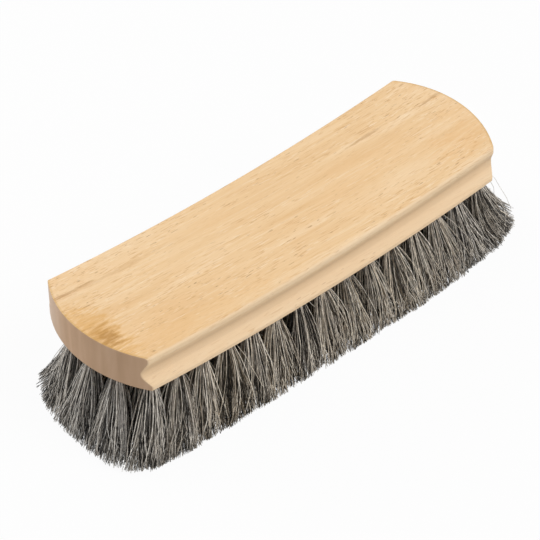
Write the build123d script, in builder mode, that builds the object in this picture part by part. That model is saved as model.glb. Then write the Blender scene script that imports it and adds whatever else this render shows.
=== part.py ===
"""Shoe shine brush: a bent beech block with a finger cove along each side, and rows of
horsehair tufts, each folded over a metal anchor at the bottom of its own drilled hole.

The frame: +X runs along the block, +Y across it, +Z up. The origin is on the ground under
the middle of the brush, which stands on the trimmed tips of its hair.
"""

from build123d import *
import math
import os

# Block, in millimetres
block_length = 170.0  # between the tops of the two end arcs
block_thickness = 13.8
lip_width = 50.2  # across the upper edges
foot_width = 52.3  # across the lower edges, the widest place of the wood
end_bulge = 8.1  # how far an end arc stands out past its two corners
underside_sag = 3.6  # how far the middle of the underside lies below its corners

# Long sides of the block, with heights up from the underside
foot_rise = 1.9  # top of the upright band along the lower edge
foot_ease = 0.5  # small bevel under that band
cove_root_height = 5.8  # where the two slopes of the cove would meet
cove_depth = 2.7  # how far in from the upper edge they would meet
lip_radius = 1.2  # rounding over the upper edge
lip_flat = 1.2  # upright flat under that rounding
shoulder_radius = 1.5  # rounding from the flat into the cove
cove_radius = 3.0
flare_radius = 0.8
edge_ease = 0.4  # small bevel round the end faces

# Drilled tuft holes, each leaning out in step with its distance from the middle
hole_radius = 2.0
hole_depth = 9.0
hole_sides = 8  # of the holes and of the bundles of hair that fill them
side_margin = 5.4  # outer row's hole centres, in from the lower edge
end_margin = 6.1  # end tufts' hole centres, in from the end arc
side_slant = 12.0  # degrees that an outer row's holes lean out
end_slant = 15.0  # degrees that the holes at the ends lean out
outer_count = 15  # tufts in each outer row
extra_counts = (0, 1, 2, 1, 0)  # tufts that each row has more than an outer row
row_place_shares = (-1, -0.5, 0, 0.5, 1)  # rows across the width, of the outer row's place

# Hair
hair_drop = 28.0  # ground to the middle of the underside
trim_allowance = 4.4  # length that the longest strands lose when they are trimmed level
bundle_clearance = 0.2  # between a hole's wall and its bundle of hair
bundle_collar = 1.6  # how far the bundle stands out of the hole before it fans
ring_strands = 5  # strands round the middle strand of a tuft
strand_sides = 3
strand_radius = 0.6  # to the corners of a strand's section
strand_bury = 1.0  # length of a strand inside the bundle
root_ring = 1.0  # from a tuft's axis to its outer strands, in the bundle
tip_ring = 4.6  # the same at the tips, before they are trimmed

# Anchors
anchor_thickness = 0.5
anchor_height = 2.4
anchor_clearance = 0.1
fold_thickness = 0.9  # hair between the anchor and the bottom of the hole

overrun = 5.0  # added to cutting tools, so that they pass the wood's faces

# Worked out from the sizes above
end_radius = ((lip_width / 2) ** 2 + end_bulge**2) / (2 * end_bulge)
end_centre = block_length / 2 - end_radius
corner_reach = block_length / 2 - end_bulge
bend_radius = corner_reach**2 / (2 * underside_sag) + underside_sag / 2
bend_height = hair_drop + bend_radius
bend_axis = Axis((0, 0, bend_height), (0, 1, 0))
lip_band = lip_radius + lip_flat
row_reach = foot_width / 2 - side_margin
tuft_arc_radius = end_radius - end_margin
tuft_reach = end_centre + tuft_arc_radius
rank_count = 2 * outer_count + 1
bundle_radius = hole_radius - bundle_clearance
bundle_depth = hole_depth - bundle_clearance
hair_length = hair_drop + underside_sag + trim_allowance  # of a tuft before it is trimmed
anchor_width = 2 * (hole_radius - anchor_clearance)
anchor_middle = bundle_depth - fold_thickness - anchor_height / 2


def section_points():
    """Corners of the block's cross-section, as (across, height from the bend axis)."""
    near = [
        (foot_width / 2 - foot_ease, 0),
        (foot_width / 2, foot_ease),
        (foot_width / 2, foot_rise),
        (lip_width / 2 - cove_depth, cove_root_height),
        (lip_width / 2, block_thickness - lip_band),
        (lip_width / 2, block_thickness),
    ]
    far = [(-across, height) for across, height in reversed(near)]
    return [(across, height - bend_radius) for across, height in near + far]


def section_radii():
    """The rounding of each of those corners."""
    near = [0, 0, flare_radius, cove_radius, shoulder_radius, lip_radius]
    return near + near[::-1]


def mouth_plane(x, y):
    """The plane at a hole's mouth on the curved underside, facing out along the hole. Its
    x axis points to the nearer end of the brush, so both halves are alike."""
    swing = math.asin(x / bend_radius)
    along = math.radians(end_slant * x / tuft_reach)
    across = math.radians(side_slant * y / row_reach)
    end = math.copysign(1, x)
    return Plane(
        origin=(x, y, bend_height - bend_radius * math.cos(swing)),
        x_dir=(end * math.cos(along), 0, end * math.sin(along)),
        z_dir=(math.sin(along), math.tan(across), -math.cos(along)),
    )


def tuft_places():
    """Every tuft as (row, rank, x, y). The end tufts of the rows lie on one arc."""
    places = []
    for row, (share, extra) in enumerate(zip(row_place_shares, extra_counts)):
        y = row_reach * share
        reach = end_centre + math.sqrt(tuft_arc_radius**2 - y**2)
        count = outer_count + extra
        for number in range(count):
            x = reach * (2 * number / (count - 1) - 1)
            rank = min(max(2 * number + 1 - extra, 0), rank_count - 1)
            places.append((row, rank, x, y))
    return places


places = tuft_places()
os.makedirs("parts", exist_ok=True)

# Block: the coved section swung about the bend axis, cut to the rounded ends, then drilled
half_swing = math.asin((block_length / 2 + overrun) / (bend_radius - block_thickness))
outline_reach = foot_width / 2 + overrun
outline_corner = end_centre + math.sqrt(end_radius**2 - outline_reach**2)

with BuildPart() as block:
    swing_start = Plane(
        origin=(0, 0, bend_height),
        x_dir=(0, 1, 0),
        z_dir=(math.cos(half_swing), 0, -math.sin(half_swing)),
    )
    with BuildSketch(swing_start):
        with BuildLine():
            FilletPolyline(*section_points(), radius=section_radii(), close=True)
        make_face()
    revolve(axis=bend_axis, revolution_arc=-2 * math.degrees(half_swing))

    with BuildSketch():
        with BuildLine():
            Line((-outline_corner, -outline_reach), (outline_corner, -outline_reach))
            ThreePointArc(
                (outline_corner, -outline_reach),
                (block_length / 2, 0),
                (outline_corner, outline_reach),
            )
            Line((outline_corner, outline_reach), (-outline_corner, outline_reach))
            ThreePointArc(
                (-outline_corner, outline_reach),
                (-block_length / 2, 0),
                (-outline_corner, -outline_reach),
            )
        make_face()
    extrude(amount=bend_height, mode=Mode.INTERSECT)

    end_faces = block.faces().sort_by(Axis.X)
    chamfer(end_faces[0].edges() + end_faces[-1].edges(), length=edge_ease)

    with BuildSketch(*[mouth_plane(x, y).offset(overrun) for row, rank, x, y in places]):
        RegularPolygon(hole_radius, hole_sides)
    extrude(amount=-hole_depth - overrun, mode=Mode.SUBTRACT)
block.part.label = "block"
export_step(block.part, "parts/block.step")

# One tuft, standing on the plane of its hole's mouth: the bundle in the hole, with a
# window for the anchor that the hair is folded over, and the strands that fan out of it
ring_angles = [math.tau * number / ring_strands for number in range(ring_strands)]
directions = [(0, 0)] + [(math.cos(angle), math.sin(angle)) for angle in ring_angles]
strand_lean = (tip_ring - root_ring) / hair_length


def strand_plane(direction):
    """The plane of a strand's root in the bundle, facing along the strand."""
    first, second = direction
    return Plane(
        origin=(first * root_ring, second * root_ring, bundle_collar - strand_bury),
        x_dir=(1, 0, -first * strand_lean),
        z_dir=(first * strand_lean, second * strand_lean, 1),
    )


with BuildPart() as tuft:
    with BuildSketch(Plane.XY.offset(-bundle_depth)):
        RegularPolygon(bundle_radius, hole_sides)
    extrude(amount=bundle_depth + bundle_collar)
    with Locations((0, 0, -anchor_middle)):
        Box(
            anchor_width + 2 * anchor_clearance,
            anchor_thickness + 2 * anchor_clearance,
            anchor_height + 2 * anchor_clearance,
            mode=Mode.SUBTRACT,
        )
    with BuildSketch(*[strand_plane(direction) for direction in directions]):
        RegularPolygon(strand_radius, strand_sides)
    extrude(amount=hair_length)

# Tufts: one node for each rank across the brush, trimmed level with the ground
for rank in range(rank_count):
    mouths = [mouth_plane(x, y) for row, its_rank, x, y in places if its_rank == rank]
    with BuildPart() as tufts:
        with Locations(*mouths):
            add(tuft.part)
        split(bisect_by=Plane.XY, keep=Keep.TOP)
    tufts.part.label = f"tuft_rank_{rank + 1:02d}"
    export_step(tufts.part, f"parts/{tufts.part.label}.step")

# Anchors: one node for each row along the brush
for row in range(len(extra_counts)):
    mouths = [mouth_plane(x, y) for its_row, rank, x, y in places if its_row == row]
    with BuildPart() as anchors:
        with Locations(*[mouth.offset(-anchor_middle) for mouth in mouths]):
            Box(anchor_width, anchor_thickness, anchor_height)
    anchors.part.label = f"anchor_row_{row + 1}"
    export_step(anchors.part, f"parts/{anchors.part.label}.step")

print(len(places), "tufts,", len(places) * len(directions), "strands")
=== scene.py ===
"""Looks of a shoe shine brush: a bent beech block with a finger cove along each side, over
dense mixed horsehair. Lengths are in millimetres and become metres where they are used.
The scales of the noises are per metre."""

import math

import bpy
import numpy as np
from mathutils import Matrix, Vector, geometry


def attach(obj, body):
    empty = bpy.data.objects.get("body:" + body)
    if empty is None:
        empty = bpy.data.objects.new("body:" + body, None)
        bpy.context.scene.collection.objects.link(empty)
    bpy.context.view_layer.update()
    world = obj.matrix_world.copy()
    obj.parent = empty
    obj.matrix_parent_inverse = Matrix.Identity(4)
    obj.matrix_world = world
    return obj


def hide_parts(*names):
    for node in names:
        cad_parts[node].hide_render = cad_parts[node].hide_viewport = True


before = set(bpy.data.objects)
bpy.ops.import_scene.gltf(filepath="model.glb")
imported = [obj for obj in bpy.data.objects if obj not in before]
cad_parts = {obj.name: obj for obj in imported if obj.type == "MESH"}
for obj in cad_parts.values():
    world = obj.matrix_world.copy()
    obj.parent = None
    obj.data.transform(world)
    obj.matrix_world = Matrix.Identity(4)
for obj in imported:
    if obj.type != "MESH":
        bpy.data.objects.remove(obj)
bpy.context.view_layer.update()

MM = 0.001

# Sizes of the part, as in its source
BLOCK_LENGTH, BLOCK_THICKNESS = 170.0, 13.8
LIP_WIDTH, FOOT_WIDTH = 50.2, 52.3
END_BULGE, UNDERSIDE_SAG = 8.1, 3.6
FOOT_RISE, FOOT_EASE = 1.9, 0.5
COVE_ROOT_HEIGHT, COVE_DEPTH = 5.8, 2.7
LIP_RADIUS, LIP_FLAT, SHOULDER_RADIUS = 1.2, 1.2, 1.5
COVE_RADIUS, FLARE_RADIUS = 3.0, 0.8
HAIR_DROP = 28.0
SIDE_MARGIN, END_MARGIN = 5.4, 6.1
SIDE_SLANT, END_SLANT = 12.0, 15.0  # degrees
OUTER_COUNT = 15  # tufts in each outer row
EXTRA_COUNTS = (0, 1, 2, 1, 0)
ROW_PLACES = (-1, -0.5, 0, 0.5, 1)

END_RADIUS = ((LIP_WIDTH / 2) ** 2 + END_BULGE**2) / (2 * END_BULGE)
END_CENTRE = BLOCK_LENGTH / 2 - END_RADIUS
CORNER_REACH = BLOCK_LENGTH / 2 - END_BULGE
BEND_RADIUS = CORNER_REACH**2 / (2 * UNDERSIDE_SAG) + UNDERSIDE_SAG / 2
BEND_HEIGHT = HAIR_DROP + BEND_RADIUS
ROW_REACH = FOOT_WIDTH / 2 - SIDE_MARGIN
TUFT_ARC_RADIUS = END_RADIUS - END_MARGIN
TUFT_REACH = END_CENTRE + TUFT_ARC_RADIUS
RANK_COUNT = 2 * OUTER_COUNT + 1

# Roundings where the source has plain bevels
FOOT_ROUNDING = 0.45  # of both corners of the bevel along each lower edge
END_ROUNDING = 0.35  # instead of the bevel round each end face

# Fineness of the block's mesh
ROUNDING_STEP = math.radians(9)  # turn between points of a rounding, at most
SECTION_STEP = 1.0  # between points of the section's straight runs
RING_COUNT = 121  # sections along the block, counting both ends
EASE_STEPS = 4  # of the rounding round each end face
CAP_STEP = 1.5  # between points inside an end face
CAP_REACH = 24.0  # of those points to either side
CAP_MARGIN = 0.5  # between those points and the face's edge, at least


def linked(name, data):
    """A new object in the scene."""
    made = bpy.data.objects.new(name, data)
    bpy.context.scene.collection.objects.link(made)
    return made


def mesh_object(name, vertices, faces, material, smooth=True):
    """A mesh in metres from points in millimetres."""
    mesh = bpy.data.meshes.new(name)
    mesh.from_pydata([tuple(p) for p in np.asarray(vertices) * MM], [], faces)
    mesh.update()
    mesh.polygons.foreach_set("use_smooth", [smooth] * len(mesh.polygons))
    mesh.materials.append(material)
    return linked(name, mesh)


def linear(red, green, blue):
    """A colour given in screen values from 0 to 255."""
    return tuple(((c / 255 + 0.055) / 1.055) ** 2.4 for c in (red, green, blue))


# Materials


class Graph:
    """The nodes of a material or of the world, made one at a time."""

    def __init__(self, owner):
        owner.use_nodes = True
        self.owner = owner
        self.tree = owner.node_tree
        self.tree.nodes.clear()

    def node(self, kind, inputs=(), **settings):
        """A node with its settings. Its inputs are sockets to link or plain values."""
        made = self.tree.nodes.new("ShaderNode" + kind)
        for key, value in settings.items():
            setattr(made, key, value)
        for key, value in dict(inputs).items():
            if isinstance(value, bpy.types.NodeSocket):
                self.tree.links.new(value, made.inputs[key])
            else:
                made.inputs[key].default_value = value
        return made

    def ramp(self, value, stops):
        """The colours of the stops, mixed between the levels that they are at."""
        made = self.node("ValToRGB", {"Fac": value})
        elements = made.color_ramp.elements
        while len(elements) < len(stops):
            elements.new(0.5)
        for element, (level, colour) in zip(elements, stops):
            element.position = level
            element.color = (*colour, 1)
        return made.outputs["Color"]

    def change(self, value, start, end, low=0.0, high=1.0):
        """Low until value reaches start, high from end on, smooth between."""
        inputs = {"Value": value, "From Min": start, "From Max": end}
        inputs |= {"To Min": low, "To Max": high}
        return self.node("MapRange", inputs, interpolation_type="SMOOTHSTEP").outputs[0]

    def mix(self, share, first, second, mode="MIX"):
        """The second colour over the first, by its share."""
        first, second = [(*c, 1) if isinstance(c, tuple) else c for c in (first, second)]
        inputs = {0: share, 6: first, 7: second}
        return self.node("Mix", inputs, data_type="RGBA", blend_type=mode).outputs[2]

    def math(self, operation, first, second=0.0):
        return self.node("Math", {0: first, 1: second}, operation=operation).outputs[0]

    def times(self, first, second):
        return self.math("MULTIPLY", first, second)

    def length(self, vector):
        return self.node("VectorMath", {0: vector}, operation="LENGTH").outputs["Value"]

    def axes(self, vector):
        return self.node("SeparateXYZ", {"Vector": vector}).outputs

    def stretch(self, place, scale, shift):
        inputs = {"Vector": place, "Scale": scale, "Location": shift}
        return self.node("Mapping", inputs).outputs["Vector"]

    def noise(self, place, scale, detail=3.0, roughness=0.5, distortion=0.0, shift=0.0):
        """Noise with a scale for each axis, shifted by the same number along all of them."""
        inputs = {"Vector": self.stretch(place, scale, (shift,) * 3), "Scale": 1.0}
        inputs |= {"Detail": detail, "Roughness": roughness, "Distortion": distortion}
        return self.node("TexNoise", inputs).outputs["Fac"]

    def finish(self, shader, kind="OutputMaterial"):
        self.node(kind, {"Surface": shader.outputs[0]})
        return self.owner


# The grain runs straight along the block where x is minus the first number, and drifts
# across it by the second, per metre, times the square of the distance from there
GRAIN_TURN_START, GRAIN_TURN = 60, 0.24
# Noises of the wood: scales along, across and up, then detail, roughness and distortion
NOISES = {
    "bands": ((9, 150, 190), 3, 0.55, 0.5),
    "streaks": ((24, 900, 900), 2),
    "fibre": ((75, 3200, 3200), 3, 0.6),
    "cloud": ((26, 60, 60), 3),
    "flecked": ((15, 110, 150), 2),
    "ragged": ((130, 700, 700), 4, 0.7),
    "streaky": ((200, 1500, 1500), 3, 0.7),
}
RINGS = ((30, 240, 35), 3, 0.5, 0.3)
FLECK_DETAIL, FLECK_ROUGHNESS = 1, 0.4
# How far the surface faces along, across or up where the looks of the ends, of the sides, of
# the top and of the coves' painted shade start and are full
END_FACING, SIDE_FACING, TOP_FACING = (0.55, 0.78), (0.3, 0.8), (0.6, 0.9)
COVE_SHADE_FACING = (0.8, 0.5)
# Colours of the board and of its end grain, at levels of their noises
BOARD_STOPS = (
    (0.32, linear(226, 188, 140)),
    (0.50, linear(233, 199, 154)),
    (0.68, linear(238, 208, 168)),
)
END_STOPS = (
    (0.35, linear(195, 159, 126)),
    (0.52, linear(202, 166, 133)),
    (0.68, linear(208, 173, 141)),
)
# Tints over the board: noise, its levels where a tint starts and is full, share and colour
TINTS = (
    ("cloud", 0.45, 0.70, 0.45, linear(231, 191, 141)),
    ("streaks", 0.56, 0.76, 0.40, linear(241, 217, 183)),
    ("streaks", 0.44, 0.28, 0.30, linear(222, 180, 126)),
    ("fibre", 0.58, 0.34, 0.16, linear(214, 174, 124)),
)
# Painted light: the long sides are made paler, to match the top under the lamps
SIDE_PAINTED_LIGHT_SHARE, SIDE_PAINTED_LIGHT = 0.6, linear(241, 215, 180)
# Ray flecks: scales, shift, noise levels where a fleck starts and is full, share and colour
FLECKS = (
    ((190, 2400, 2400), 0.0, 0.59, 0.69, 0.55, linear(200, 152, 98)),
    ((280, 2000, 2000), 5.0, 0.70, 0.76, 0.65, linear(150, 98, 54)),
    ((210, 2300, 2300), 9.0, 0.62, 0.72, 0.50, linear(246, 226, 198)),
)
FLECKED_LEVELS = (0.34, 0.62, 0.25, 1)  # noise levels, and how flecked the wood is there
FLECKS_OFF_SIDES = 0.45  # share of the flecks that the long sides lack
# Patches: centre and size on the top, share and colour
PATCHES = (
    ((-56, -20), (32, 5), 0.40, linear(227, 182, 124)),
    ((-80.5, -6), (6.5, 12), 0.75, linear(219, 170, 102)),
    ((-80.5, -8), (4.5, 5.5), 0.45, linear(176, 124, 48)),
    ((-80, -9.5), (3, 3.5), 0.32, linear(148, 100, 34)),
    ((-78, 15.4), (9, 0.6), 0.60, linear(172, 124, 74)),
    ((-60, 14.6), (18, 0.9), 0.35, linear(196, 152, 102)),
    ((49, 10.4), (8, 0.6), 0.50, linear(176, 128, 78)),
    ((80, 8.2), (6, 0.6), 0.50, linear(176, 128, 78)),
    ((72, -14), (10, 6), 0.35, linear(227, 178, 120)),
)
PATCH_FADE = (1.5, 0.7)  # of a patch's size, where it starts and is full
RAGGED_LEVELS = (0.3, 0.7, -0.5, 0.7)  # noise levels, and the moves of a patch's edge there
STREAKY_LEVELS = (0.34, 0.6, 0.55, 1)  # noise levels, and how full a patch is there
# The rims of the top's ends: insets from the end arc and places along where they start and
# are full, share and colour
RIM_INSETS, RIM_PLACES = (1.0, 0.3), (70, 72)
RIM_SHARE, RIM_COLOUR = 0.55, linear(200, 158, 90)
# The coves' bottoms, as a distance from the middle, how far the painted shade in them fades
# out from there, its share and colour
COVE_BOTTOM, COVE_SHADE_FADE = LIP_WIDTH / 2 - COVE_DEPTH + 0.9, 1.6
COVE_SHADE_SHARE, COVE_SHADE_COLOUR = 0.5, linear(216, 184, 146)
# Painted light, paler towards the back of the end grain: places across where it starts and is
# full, share, colour
END_LIGHT_PLACES, END_LIGHT_SHARE, END_LIGHT_COLOUR = (4, 24), 0.6, linear(230, 207, 186)
PORE_LEVELS, PORE_STRENGTH, PORE_DEPTH = (0.6, 0.35), 0.2, 0.08  # levels of the fibre
WOOD_GLOSS = (0.3, 0.7, 0.48, 0.6)  # levels of the fibre, and the wood's roughness there
# Glints along the hairs: scales, share, and how much light is left at levels of their noise
GLINT_SCALES, GLINT_SHARE = (1300, 1300, 600), 0.8
GLINT_STOPS = ((0.36, (0.5,) * 3), (0.58, (1.0,) * 3))
# Streaks of the drawn metal: scales, colours, then levels and the roughness there
DRAWN_SCALES = (400, 400, 5000)
DRAWN_COLOURS = (0.50, 0.48, 0.44), (0.66, 0.64, 0.60)
DRAWN_GLOSS = (0.2, 0.8, 0.28, 0.45)


def spot(graph, place, centre, size, ragged):
    """1 in an oval patch round centre, fading to 0 over a ragged edge."""
    scale = [1 / (s * MM) for s in size] + [0]
    shift = [-c / s for c, s in zip(centre, size)] + [0]
    reach = graph.length(graph.stretch(place, scale, shift))
    return graph.change(graph.math("ADD", reach, ragged), *PATCH_FADE)


def beech():
    graph = Graph(bpy.data.materials.new("beech"))
    place = graph.node("TexCoord").outputs["Object"]
    axes = graph.axes(place)
    along = graph.math("ADD", axes["X"], GRAIN_TURN_START * MM)
    drift = graph.times(graph.times(along, along), GRAIN_TURN)
    inputs = {"X": axes["X"], "Y": graph.math("ADD", axes["Y"], drift), "Z": axes["Z"]}
    grain = graph.node("CombineXYZ", inputs).outputs["Vector"]
    noises = {name: graph.noise(grain, *numbers) for name, numbers in NOISES.items()}

    facing = graph.axes(graph.node("NewGeometry").outputs["Normal"])
    end_grain = graph.change(graph.math("ABSOLUTE", facing["X"]), *END_FACING)
    side_grain = graph.change(graph.math("ABSOLUTE", facing["Y"]), *SIDE_FACING)
    on_top = graph.change(facing["Z"], *TOP_FACING)

    # Board figure: wide bands, thin pale and golden streaks, fibre
    board = graph.ramp(noises["bands"], BOARD_STOPS)
    for name, start, full, share, colour in TINTS:
        board = graph.mix(graph.change(noises[name], start, full, 0, share), board, colour)
    # Painted light that makes the long sides paler
    board = graph.mix(graph.times(side_grain, SIDE_PAINTED_LIGHT_SHARE), board, SIDE_PAINTED_LIGHT)

    # Ray flecks: thin dashes along the grain, thicker in some bands than in others
    on_sides = graph.times(side_grain, FLECKS_OFF_SIDES)
    where = graph.change(noises["flecked"], *FLECKED_LEVELS)
    where = graph.times(where, graph.math("SUBTRACT", 1.0, on_sides))
    for scale, shift, start, full, share, colour in FLECKS:
        dash = graph.noise(grain, scale, FLECK_DETAIL, FLECK_ROUGHNESS, shift=shift)
        dash = graph.times(graph.change(dash, start, full), where)
        board = graph.mix(graph.times(dash, share), board, colour)

    # Darker patches of the top, and the rims of its ends
    ragged = graph.change(noises["ragged"], *RAGGED_LEVELS)
    streaky = graph.times(graph.change(noises["streaky"], *STREAKY_LEVELS), on_top)
    for centre, size, share, colour in PATCHES:
        patch = graph.times(spot(graph, place, centre, size, ragged), streaky)
        board = graph.mix(graph.times(patch, share), board, colour)
    to_middle = graph.node("VectorMath", {0: place}, operation="ABSOLUTE").outputs["Vector"]
    reach = graph.length(graph.stretch(to_middle, (1, 1, 0), (-END_CENTRE * MM, 0, 0)))
    rim = graph.change(reach, *[(END_RADIUS - inset) * MM for inset in RIM_INSETS])
    near_end = graph.change(graph.axes(to_middle)["X"], *[x * MM for x in RIM_PLACES])
    rim = graph.times(graph.times(rim, near_end), streaky)
    board = graph.mix(graph.times(rim, RIM_SHARE), board, RIM_COLOUR)

    # The bottoms of the coves, darkened with painted shade
    across = graph.math("ABSOLUTE", axes["Y"])
    cove_shade = graph.change(across, (COVE_BOTTOM + COVE_SHADE_FADE) * MM, COVE_BOTTOM * MM)
    cove_shade = graph.times(cove_shade, graph.change(facing["Z"], *COVE_SHADE_FACING))
    board = graph.mix(graph.times(cove_shade, COVE_SHADE_SHARE), board, COVE_SHADE_COLOUR)

    # End grain: pinker and darker, with soft upright bands, and painted light towards the back
    ends = graph.ramp(graph.noise(place, *RINGS), END_STOPS)
    end_light = graph.change(axes["Y"], *[y * MM for y in END_LIGHT_PLACES], 0, END_LIGHT_SHARE)
    ends = graph.mix(end_light, ends, END_LIGHT_COLOUR)

    pores = graph.change(noises["fibre"], *PORE_LEVELS)
    pores = graph.times(pores, graph.math("SUBTRACT", 1.0, end_grain))
    inputs = {"Height": pores, "Strength": PORE_STRENGTH, "Distance": -PORE_DEPTH * MM}
    shader = graph.node(
        "BsdfPrincipled",
        {
            "Base Color": graph.mix(end_grain, board, ends),
            "Roughness": graph.change(noises["fibre"], *WOOD_GLOSS),
            "Specular IOR Level": 0.32,
            "Normal": graph.node("Bump", inputs).outputs["Normal"],
        },
    )
    return graph.finish(shader)


def horsehair():
    """Each hair's own tone, with glints and shadows along it."""
    graph = Graph(bpy.data.materials.new("horsehair"))
    tone = graph.node("Attribute", attribute_name="tone").outputs["Color"]
    place = graph.node("TexCoord").outputs["Object"]
    glints = graph.ramp(graph.noise(place, GLINT_SCALES, 2), GLINT_STOPS)
    colour = graph.mix(GLINT_SHARE, tone, glints, "MULTIPLY")
    shader = graph.node(
        "BsdfPrincipled",
        {"Base Color": colour, "Roughness": 0.3, "Specular IOR Level": 0.6},
    )
    return graph.finish(shader)


def anchor_metal():
    """Drawn metal, duller in streaks."""
    graph = Graph(bpy.data.materials.new("anchor_metal"))
    place = graph.node("TexCoord").outputs["Object"]
    drawn = graph.noise(place, DRAWN_SCALES)
    shader = graph.node(
        "BsdfPrincipled",
        {
            "Base Color": graph.mix(drawn, *DRAWN_COLOURS),
            "Metallic": 1.0,
            "Roughness": graph.change(drawn, *DRAWN_GLOSS),
        },
    )
    return graph.finish(shader)


# Block


def rounded(points, radii):
    """The corners of a closed run of points, rounded to the radii."""
    made = []
    count = len(points)
    for i, radius in enumerate(radii):
        corner = np.array(points[i], float)
        back = np.array(points[i - 1], float) - corner
        ahead = np.array(points[(i + 1) % count], float) - corner
        back /= np.linalg.norm(back)
        ahead /= np.linalg.norm(ahead)
        half = math.acos(np.clip(back @ ahead, -1, 1)) / 2
        middle = (back + ahead) / np.linalg.norm(back + ahead)
        centre = corner + middle * radius / math.sin(half)
        start = corner + back * radius / math.tan(half) - centre
        turn = math.pi - 2 * half
        side = np.sign(start[1] * back[0] - start[0] * back[1])
        steps = max(2, math.ceil(turn / ROUNDING_STEP))
        for k in range(steps + 1):
            angle = side * turn * k / steps
            c, s = math.cos(angle), math.sin(angle)
            made.append(centre + (start[0] * c - start[1] * s, start[0] * s + start[1] * c))
    return made


def section():
    """The block's cross-section, as points across and up from the underside."""
    near = [
        (FOOT_WIDTH / 2 - FOOT_EASE, 0),
        (FOOT_WIDTH / 2, FOOT_EASE),
        (FOOT_WIDTH / 2, FOOT_RISE),
        (LIP_WIDTH / 2 - COVE_DEPTH, COVE_ROOT_HEIGHT),
        (LIP_WIDTH / 2, BLOCK_THICKNESS - LIP_RADIUS - LIP_FLAT),
        (LIP_WIDTH / 2, BLOCK_THICKNESS),
    ]
    radii = [FOOT_ROUNDING, FOOT_ROUNDING, FLARE_RADIUS, COVE_RADIUS]
    radii += [SHOULDER_RADIUS, LIP_RADIUS]
    far = [(-across, height) for across, height in reversed(near)]
    outline = rounded(near + far, radii + radii[::-1])
    # Long runs are divided, so that the ends' arcs stay smooth
    made = []
    for i, point in enumerate(outline):
        after = outline[(i + 1) % len(outline)]
        parts = max(1, round(np.linalg.norm(after - point) / SECTION_STEP))
        made += [point + (after - point) * k / parts for k in range(parts)]
    return np.array(made)


def on_block(across, height, x):
    """A point of the section, placed at x along the bent block."""
    radius = BEND_RADIUS - height
    return np.stack([x, across, BEND_HEIGHT - np.sqrt(radius**2 - x**2)], -1)


def end_x(across):
    """How far along the right end's arc reaches."""
    return END_CENTRE + np.sqrt(END_RADIUS**2 - across**2)


def inside(loop, across, height):
    """True if a point lies inside the loop by at least the margin."""
    ahead = np.roll(loop, -1, 0)
    step = ahead - loop
    offset = np.array([across, height]) - loop
    share = np.clip((offset * step).sum(1) / (step**2).sum(1), 0, 1)
    if np.linalg.norm(offset - step * share[:, None], axis=1).min() < CAP_MARGIN:
        return False
    crosses = (loop[:, 1] > height) != (ahead[:, 1] > height)
    at = loop[:, 0] + (height - loop[:, 1]) / np.where(step[:, 1], step[:, 1], 1) * step[:, 0]
    return bool((crosses & (across < at)).sum() % 2)


def block_rings():
    """Sections along the block, each as a loop and its places along: rounded over at each
    end, even between."""
    outline = section()
    ahead = np.roll(outline, -1, 0) - np.roll(outline, 1, 0)
    outward = np.stack([ahead[:, 1], -ahead[:, 0]], -1)
    outward /= np.linalg.norm(outward, axis=1)[:, None]
    eased = []
    for turn in np.radians(np.linspace(90, 0, EASE_STEPS + 1)):
        loop = outline - outward * END_ROUNDING * (1 - math.cos(turn))
        eased.append((loop, end_x(loop[:, 0]) - END_ROUNDING * (1 - math.sin(turn))))
    reach = end_x(outline[:, 0]) - END_ROUNDING
    shares = np.linspace(-1, 1, RING_COUNT)[1:-1]
    left = [(loop, -x) for loop, x in eased]
    return left + [(outline, reach * share) for share in shares] + eased[::-1]


def block_mesh(material):
    rings = block_rings()
    vertices = list(np.concatenate([on_block(loop[:, 0], loop[:, 1], x) for loop, x in rings]))
    end_loop = rings[0][0]
    count = len(end_loop)
    faces = []
    for ring in range(len(rings) - 1):
        a, b = ring * count, (ring + 1) * count
        for i in range(count):
            j = (i + 1) % count
            faces.append((a + i, a + j, b + j, b + i))
    # End caps, with points inside so that they follow the end's arc
    widths = np.arange(-CAP_REACH, CAP_REACH + CAP_STEP / 2, CAP_STEP)
    heights = np.arange(CAP_STEP, BLOCK_THICKNESS - CAP_STEP / 2, CAP_STEP)
    grid = [(width, height) for height in heights for width in widths]
    inner = [point for point in grid if inside(end_loop, *point)]
    points = [Vector(point) for point in end_loop] + [Vector(point) for point in inner]
    edges = [(i, (i + 1) % count) for i in range(count)]
    inside_only, tolerance = 1, 1e-7
    found = geometry.delaunay_2d_cdt(points, edges, [], inside_only, tolerance)
    order = [origins[0] for origins in found[3]]
    for sign, base in ((-1, 0), (1, (len(rings) - 1) * count)):
        extra = len(vertices)
        for width, height in inner:
            vertices.append(on_block(width, height, sign * end_x(width)))
        for face in found[2]:
            corners = [order[k] for k in face]
            corners = [base + k if k < count else extra + k - count for k in corners]
            faces.append(tuple(corners if sign > 0 else corners[::-1]))
    made = mesh_object("block_wood", vertices, faces, material)
    bpy.context.view_layer.objects.active = made
    for other in bpy.context.selected_objects:
        other.select_set(False)
    made.select_set(True)
    bpy.ops.object.mode_set(mode="EDIT")
    bpy.ops.mesh.select_all(action="SELECT")
    bpy.ops.mesh.normals_make_consistent(inside=False)
    bpy.ops.object.mode_set(mode="OBJECT")
    weighted = made.modifiers.new("weighted", "WEIGHTED_NORMAL")
    weighted.keep_sharp = True
    return made


# Hair

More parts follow.
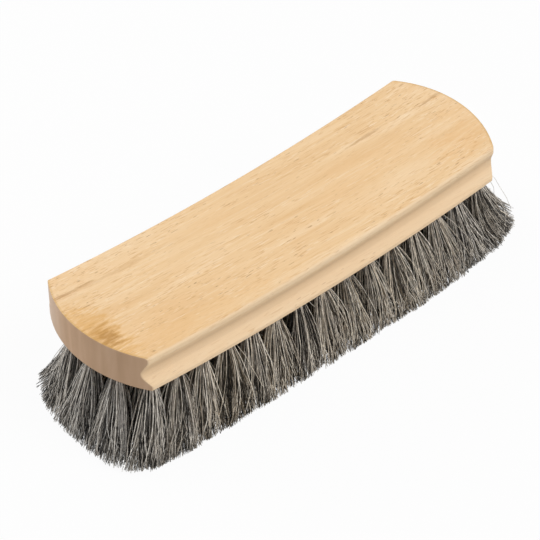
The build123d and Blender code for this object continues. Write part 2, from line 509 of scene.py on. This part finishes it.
rng = np.random.default_rng(7)
GOLDEN_TURN = math.pi * (3 - math.sqrt(5))
STRAND_SIDES = 3
SEGMENTS = 7
OUTER_HAIRS, INNER_HAIRS = 520, 340  # in each tuft that is seen from outside, and others
OUTER_ROWS, OUTER_RANKS = (0, 4), 2  # the rows, and ranks at each end, seen from outside
LOCKS = 24  # in each tuft
WISP_HAIRS = 1.7  # that lie together, in each lock's wisps
HAIR_LENGTH = 32.4  # out of the hole, before it is trimmed
HAIR_BURY = 1.0  # in the hole
MOUTH_RADIUS, TIP_RADIUS = 1.85, 6.6  # of a tuft, at its hole and where the hairs end
LOCK_RADIUS = 1.45  # from a tuft's axis to its outer locks, at the hole
TAPER = (1.1, 0.7)  # of a hair's radius, at its root and its tip
TINY = 0.01  # in place of a length of nothing, to divide by

# How much things vary at random. Root is the place in the hole, lean moves a hair's tip and
# sweep its middle, kind is its tone, and slack keeps it inside the trimmed outline
TUFT_SPREAD = {"bend": 0.3, "slack": 0.35}
LOCK_SPREAD = {"lean": 0.9, "sweep": 0.5, "kind": 0.07, "slack": 0.7}
WISP_SPREAD = {"root": 0.33, "lean": 1.3, "sweep": 0.85, "kind": 0.06}
HAIR_SPREAD = {"root": 0.14, "lean": 0.9, "sweep": 0.6, "length": 0.5, "slack": 0.5}
LEAN_POWERS = (1.1, 1.6)  # how late a wisp leans out, as powers of the length
WAVE_TURNS, WAVE_SWING = (6, 16), 0.38  # radians along a hair, and its sideways swing
STRAY_SHARE, STRAY_THICKNESS = 0.03, 0.6  # of the hairs, and of their radius
STRAY_SPREAD = {"lean": 3.5, "sweep": 2.5}

# The trimmed hair's outline on the ground: a box with swelling sides and round corners
LEFT_COVER, RIGHT_COVER, SIDE_COVER = -88.9, 96.2, 29.8
END_SWELL, SIDE_SWELL, COVER_CORNER = 2.4, 2.2, 11.0
# Where that outline is narrower: how much, and places where that starts and is full, across
# at the left end's back and along at the near side's right
BACK_NARROWING = (2.2, 8, 22)
NEAR_NARROWINGS = ((1.4, 56, 68), (2.0, 78, 87))
# Trimming: how uneven it is, how many steps find the cut, the share of the length that each
# looks back, the least slope that it takes, and the least share of a hair that is left
TRIM_SPREAD = 0.3
TRIM_STEPS, TRIM_LOOK, TRIM_SLOPE, TRIM_LEAST = 6, 0.02, 1, 0.5

# Bent in use: places where the right end and the back left corner start and are full, how
# far their tips bend and their middles bow, and how the bend and the trimmed outline's pull
# grow along a hair, as powers of the length
RIGHT_END_PLACES = (45, 83)
CORNER_ALONG, CORNER_ACROSS = (-50, -70), (7, 19)
NEAR_BEND, BACK_BEND = np.array([6.0, 0, 0]), np.array([2.0, 0, 0])
CORNER_BEND = np.array([3.5, -2.5, 0])
RIGHT_BOW, CORNER_BOW = np.array([-2.0, 0, 0]), np.array([5.5, -4.3, 0])
BEND_POWER, PULL_POWER = 1.7, 1.1

# Hair colours, from dark to pale: share of the hairs, darkest and lightest level, smallest
# and largest radius, and how much green and blue they lack where they are warmest
HAIR_KINDS = (
    (0.41, (0.012, 0.04), (0.10, 0.15), (0.20, 0.45)),
    (0.12, (0.12, 0.32), (0.08, 0.12), (0.14, 0.32)),
    (0.15, (0.50, 0.75), (0.11, 0.15), (0.10, 0.22)),
    (0.32, (0.92, 1.0), (0.15, 0.20), (0.07, 0.17)),
)
# Warmth at the left end, what the middle adds and the right end takes off, and places along
# where those start and are full
LEFT_WARMTH, MORE_WARMTH, LESS_WARMTH = 0.65, 0.75, 0.35
WARMER_PLACES, COOLER_PLACES = (-90, -40), (30, 80)
TUFT_WARMTH, HAIR_WARMTH = (0.88, 1.15), (0.8, 1.2)
PALER, PALER_PLACES = 0.04, (-40, 20)  # how much paler the right of the brush is


def tuft_places():
    """Every tuft as (row, rank, x, y). The end tufts of the rows lie on one arc."""
    places = []
    for row, (share, extra) in enumerate(zip(ROW_PLACES, EXTRA_COUNTS)):
        y = ROW_REACH * share
        reach = END_CENTRE + math.sqrt(TUFT_ARC_RADIUS**2 - y**2)
        count = OUTER_COUNT + extra
        for number in range(count):
            x = reach * (2 * number / (count - 1) - 1)
            rank = min(max(2 * number + 1 - extra, 0), RANK_COUNT - 1)
            places.append((row, rank, x, y))
    return places


def between(value, start, full):
    """0 until value reaches start, 1 from full on, smooth between."""
    share = np.clip((value - start) / (full - start), 0, 1)
    return share * share * (3 - 2 * share)


def tones(kind, place_x):
    """Colours and radii of hairs, dark where kind is low."""
    count = len(kind)
    warm = LEFT_WARMTH + MORE_WARMTH * between(place_x, *WARMER_PLACES)
    warm -= LESS_WARMTH * between(place_x, *COOLER_PLACES)
    warm = warm * rng.uniform(*TUFT_WARMTH) * rng.uniform(*HAIR_WARMTH, count)
    colour = np.ones((count, 4))
    thick = np.empty(count)
    limits = np.cumsum([share for share, *_ in HAIR_KINDS])[:-1]
    numbers = np.searchsorted(limits, kind, side="right")
    for number, (_, levels, radii, lacks) in enumerate(HAIR_KINDS):
        mine = numbers == number
        level = rng.uniform(*levels, count)
        tint = np.stack([np.ones(count)] + [1 - lack * warm for lack in lacks], -1)
        colour[mine, :3] = (level[:, None] * tint)[mine]
        thick[mine] = rng.uniform(*radii, count)[mine]
    return colour, thick


def pull_in(tips, slack):
    """Moves that bring tips on the ground back inside the trimmed outline."""
    middle = (LEFT_COVER + RIGHT_COVER) / 2
    reach = (RIGHT_COVER - LEFT_COVER) / 2
    x, y = tips[:, 0] - middle, tips[:, 1]
    end = reach + END_SWELL * (1 - (y / SIDE_COVER) ** 2) - COVER_CORNER
    depth, *places = BACK_NARROWING
    end = end - depth * between(y, *places) * (x < 0)
    side = SIDE_COVER + SIDE_SWELL * (1 - (x / reach) ** 2) - COVER_CORNER
    narrow = sum(depth * between(tips[:, 0], *places) for depth, *places in NEAR_NARROWINGS)
    side = side - narrow * (y < 0)
    past = np.stack([np.maximum(np.abs(x) - end, 0), np.maximum(np.abs(y) - side, 0)], -1)
    far = np.linalg.norm(past, axis=1)
    beyond = np.maximum(far - COVER_CORNER + slack, 0)
    past *= (beyond / np.maximum(far, TINY))[:, None]
    return np.stack([-np.sign(x) * past[:, 0], -np.sign(y) * past[:, 1], 0 * x], -1)


def tuft(x, y, count):
    """Paths, radii and colours of one tuft's hairs."""
    along = math.radians(END_SLANT * x / TUFT_REACH)
    across = math.radians(SIDE_SLANT * y / ROW_REACH)
    axis = np.array([math.sin(along), math.tan(across), -math.cos(along)])
    axis /= np.linalg.norm(axis)
    first = np.array([math.cos(along), 0, math.sin(along)])
    second = np.cross(axis, first)
    mouth = np.array([x, y, BEND_HEIGHT - math.sqrt(BEND_RADIUS**2 - x**2)])

    # The right end's tufts bend out, the back left corner's in, and both hang straight
    # before they flare
    to_back = between(y, -ROW_REACH, ROW_REACH)
    right_end = between(x, *RIGHT_END_PLACES)
    corner = between(x, *CORNER_ALONG) * between(y, *CORNER_ACROSS)
    bend = (NEAR_BEND + (BACK_BEND - NEAR_BEND) * to_back) * right_end + CORNER_BEND * corner
    bend += rng.normal(0, TUFT_SPREAD["bend"], 3) * (1, 1, 0)
    bow = CORNER_BOW * corner + RIGHT_BOW * right_end
    tuft_slack = abs(rng.normal(0, TUFT_SPREAD["slack"]))

    # Locks spread evenly over the tuft
    angle = rng.uniform(0, math.tau) + np.arange(LOCKS) * GOLDEN_TURN
    reach = np.sqrt((np.arange(LOCKS) + 0.5) / LOCKS)
    lock_place = np.stack([np.cos(angle), np.sin(angle)], -1) * reach[:, None]
    lock_lean = lock_place * TIP_RADIUS + rng.normal(0, LOCK_SPREAD["lean"], (LOCKS, 2))
    lock_sweep = rng.normal(0, LOCK_SPREAD["sweep"], (LOCKS, 2))
    lock_kind = rng.normal(PALER * between(x, *PALER_PLACES), LOCK_SPREAD["kind"], LOCKS)
    lock_slack = np.abs(rng.normal(0, LOCK_SPREAD["slack"], LOCKS))

    # Wisps in each lock
    wisps = int(count / WISP_HAIRS)
    lock = rng.integers(0, LOCKS, wisps)
    wisp_root = lock_place[lock] * LOCK_RADIUS + rng.normal(0, WISP_SPREAD["root"], (wisps, 2))
    wisp_lean = lock_lean[lock] + rng.normal(0, WISP_SPREAD["lean"], (wisps, 2))
    wisp_sweep = lock_sweep[lock] + rng.normal(0, WISP_SPREAD["sweep"], (wisps, 2))
    wisp_kind = lock_kind[lock] + rng.normal(0, WISP_SPREAD["kind"], wisps)

    # Hairs in each wisp, and the strays among them
    own = rng.integers(0, wisps, count)
    root = wisp_root[own] + rng.normal(0, HAIR_SPREAD["root"], (count, 2))
    length = np.linalg.norm(root, axis=1)[:, None]
    root *= np.minimum(1, MOUTH_RADIUS / np.maximum(length, TINY))
    lean = wisp_lean[own] + rng.normal(0, HAIR_SPREAD["lean"], (count, 2))
    sweep = wisp_sweep[own] + rng.normal(0, HAIR_SPREAD["sweep"], (count, 2))
    power = rng.uniform(*LEAN_POWERS, wisps)[own][:, None, None]
    hair_length = rng.normal(HAIR_LENGTH, HAIR_SPREAD["length"], count)[:, None]
    kind = wisp_kind[own] + rng.random(count)
    stray = rng.random(count) < STRAY_SHARE
    lean[stray] += rng.normal(0, STRAY_SPREAD["lean"], (stray.sum(), 2))
    sweep[stray] += rng.normal(0, STRAY_SPREAD["sweep"], (stray.sum(), 2))
    kind[stray] = 1
    phase = rng.uniform(0, math.tau, count)[:, None]
    turns = rng.uniform(*WAVE_TURNS, count)[:, None]
    swing = rng.normal(0, WAVE_SWING, count)[:, None]

    def path(share, pull=0.0):
        """Points at shares of each hair's length; share is (hairs, points)."""
        run = share * (hair_length + HAIR_BURY) - HAIR_BURY
        part = np.clip(run / hair_length, 0, None)[:, :, None]
        arch = part * (1 - part) * 4  # 1 halfway, 0 at both ends
        wave = np.sin(part[:, :, 0] * turns + phase) * swing * part[:, :, 0]
        side = root[:, None] + lean[:, None] * part**power + sweep[:, None] * arch
        side = side + wave[:, :, None]
        out = mouth + run[:, :, None] * axis + bend * part**BEND_POWER
        out = out + pull * part**PULL_POWER + bow * arch
        return out + side[:, :, :1] * first + side[:, :, 1:] * second

    # Trimmed level with the ground, a little unevenly
    level = np.abs(rng.normal(0, TRIM_SPREAD, count))
    cut = np.ones(count)
    for _ in range(TRIM_STEPS):
        here = path(cut[:, None])[:, 0, 2]
        slope = (path(cut[:, None] - TRIM_LOOK)[:, 0, 2] - here) / TRIM_LOOK
        cut = np.clip(cut - (level - here) / np.maximum(slope, TRIM_SLOPE), TRIM_LEAST, 1)
    hair_slack = np.abs(rng.normal(0, HAIR_SPREAD["slack"], count))
    slack = tuft_slack + lock_slack[lock[own]] + hair_slack
    pull = pull_in(path(cut[:, None])[:, 0], slack)[:, None]
    points = path(np.linspace(0, 1, SEGMENTS + 1)[None] * cut[:, None], pull)
    colours, thick = tones(kind, x)
    thick[stray] *= STRAY_THICKNESS
    radii = thick[:, None] * np.linspace(*TAPER, SEGMENTS + 1)[None]
    return points, radii, colours


def hair_mesh(name, tufts, material):
    """One mesh of the tufts' strands, closed at both ends."""
    points, radii, colours = [np.concatenate(parts) for parts in zip(*tufts)]
    count, levels = points.shape[:2]
    ahead = np.gradient(points, axis=1)
    ahead /= np.linalg.norm(ahead, axis=2, keepdims=True)
    turn = rng.uniform(0, math.tau, count)
    side = np.stack([np.cos(turn), np.sin(turn), np.zeros(count)], -1)[:, None]
    side = side - (side * ahead).sum(2, keepdims=True) * ahead
    side /= np.linalg.norm(side, axis=2, keepdims=True)
    other = np.cross(ahead, side)
    corners = []
    for k in range(STRAND_SIDES):
        angle = math.tau * k / STRAND_SIDES
        offset = side * math.cos(angle) + other * math.sin(angle)
        corners.append(points + offset * radii[:, :, None])
    vertices = np.stack(corners, 2).reshape(-1, 3) * MM
    base = (np.arange(count) * levels * STRAND_SIDES)[:, None, None, None]
    ring = (np.arange(levels - 1) * STRAND_SIDES)[None, :, None, None]
    here = np.arange(STRAND_SIDES)
    after = (here + 1) % STRAND_SIDES
    quad = np.stack([here, after, after + STRAND_SIDES, here + STRAND_SIDES], -1)[None, None]
    quads = (base + ring + quad).reshape(-1, 4)
    ends = np.stack([here[::-1], here + (levels - 1) * STRAND_SIDES])[None]
    caps = (base[:, :, :, 0] + ends).reshape(-1, STRAND_SIDES)
    mesh = bpy.data.meshes.new(name)
    mesh.vertices.add(len(vertices))
    mesh.vertices.foreach_set("co", vertices.ravel())
    loops = np.concatenate([quads.ravel(), caps.ravel()])
    sizes = np.concatenate([np.full(len(quads), 4), np.full(len(caps), STRAND_SIDES)])
    mesh.loops.add(len(loops))
    mesh.loops.foreach_set("vertex_index", loops)
    mesh.polygons.add(len(sizes))
    mesh.polygons.foreach_set("loop_start", np.concatenate([[0], np.cumsum(sizes)[:-1]]))
    mesh.polygons.foreach_set("use_smooth", np.arange(len(sizes)) < len(quads))
    mesh.update(calc_edges=True)
    shade = mesh.color_attributes.new("tone", "FLOAT_COLOR", "POINT")
    shade.data.foreach_set("color", np.repeat(colours, levels * STRAND_SIDES, 0).ravel())
    mesh.materials.append(material)
    return linked(name, mesh)


# The brush

wood, hair, metal = beech(), horsehair(), anchor_metal()

block = block_mesh(wood)
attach(block, "root")
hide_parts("block")

by_rank = {}
for row, rank, x, y in tuft_places():
    outer = row in OUTER_ROWS or min(rank, RANK_COUNT - 1 - rank) < OUTER_RANKS
    hairs = tuft(x, y, OUTER_HAIRS if outer else INNER_HAIRS)
    by_rank.setdefault(rank, []).append(hairs)
for rank, tufts in sorted(by_rank.items()):
    name = f"hair_rank_{rank + 1:02d}"
    strands = hair_mesh(name, tufts, hair)
    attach(strands, "root")
    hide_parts(f"tuft_rank_{rank + 1:02d}")

for name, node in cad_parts.items():
    if name.startswith("anchor"):
        node.data.materials.clear()
        node.data.materials.append(metal)

# Stage

WHITE = (1, 1, 1, 1)
FLOOR_REACH = 6000
FLOOR_SHADES = (0.66,) * 3, (0.68,) * 3
FLOOR_WHITE = 0.95  # share of plain white in what the camera sees of the floor
DOME_STRENGTH = 0.42
# Lamps: place, width and watts. They face the middle of the brush
LAMPS = {
    "key": ((750, -1300, 1760), 1300, 29.2),
    "top": ((-150, 350, 1300), 900, 2.6),
    "fill": ((-450, 900, 500), 600, 4.4),
}
LAMP_TARGET = (0, 0, 30)
# The camera, fitted to the photograph: angles in degrees, what it faces and from how far
AZIMUTH, ELEVATION = math.radians(-42.12), math.radians(42.23)
CAMERA_TARGET, CAMERA_DISTANCE = (-8.06, -5.59, HAIR_DROP), 900.8
SENSOR_WIDTH, LENS = 36, 180.59


def floor_material():
    """Pale and matt to light, and nearly white to the camera."""
    graph = Graph(bpy.data.materials.new("floor"))
    rays = graph.node("LightPath").outputs["Is Camera Ray"]
    faint = graph.noise(graph.node("TexCoord").outputs["Object"], (3, 3, 3), 2)
    matt = graph.node("BsdfDiffuse", {"Color": graph.mix(faint, *FLOOR_SHADES)})
    white = graph.node("Emission", {"Color": WHITE, "Strength": 1.0})
    share = graph.times(rays, FLOOR_WHITE)
    mixed = graph.node("MixShader", {0: share, 1: matt.outputs[0], 2: white.outputs[0]})
    return graph.finish(mixed)


def studio_world():
    """A soft dome of light that the camera sees as plain white."""
    graph = Graph(bpy.data.worlds.new("studio"))
    rays = graph.node("LightPath").outputs["Is Camera Ray"]
    dome = graph.node("Background", {"Color": WHITE, "Strength": DOME_STRENGTH})
    back = graph.node("Background", {"Color": WHITE, "Strength": 1.0})
    mixed = graph.node("MixShader", {0: rays, 1: dome.outputs[0], 2: back.outputs[0]})
    return graph.finish(mixed, "OutputWorld")


floor_corners = [(-1, -1, 0), (1, -1, 0), (1, 1, 0), (-1, 1, 0)]
floor = mesh_object(
    "floor",
    np.array(floor_corners) * FLOOR_REACH,
    [(0, 1, 2, 3)],
    floor_material(),
    smooth=False,
)

bpy.context.scene.world = studio_world()

for name, (place, width, power) in LAMPS.items():
    lamp = bpy.data.lights.new(name, "AREA")
    lamp.shape = "DISK"
    lamp.size = width * MM
    lamp.energy = power
    softbox = linked(name, lamp)
    softbox.location = Vector(place) * MM
    facing = Vector(LAMP_TARGET) - Vector(place)
    softbox.rotation_euler = facing.to_track_quat("-Z", "Y").to_euler()

flat = math.cos(ELEVATION)
backward = Vector((math.sin(AZIMUTH) * flat, -math.cos(AZIMUTH) * flat, math.sin(ELEVATION)))
right = Vector((math.cos(AZIMUTH), math.sin(AZIMUTH), 0))
upward = backward.cross(right)
camera_data = bpy.data.cameras.new("camera")
camera_data.sensor_width = SENSOR_WIDTH
camera_data.lens = LENS
camera = linked("camera", camera_data)
turned = Matrix((right, upward, backward)).transposed().to_4x4()
place = (Vector(CAMERA_TARGET) + backward * CAMERA_DISTANCE) * MM
camera.matrix_world = Matrix.Translation(place) @ turned
bpy.context.scene.camera = camera
bpy.context.scene.view_settings.view_transform = "Standard"
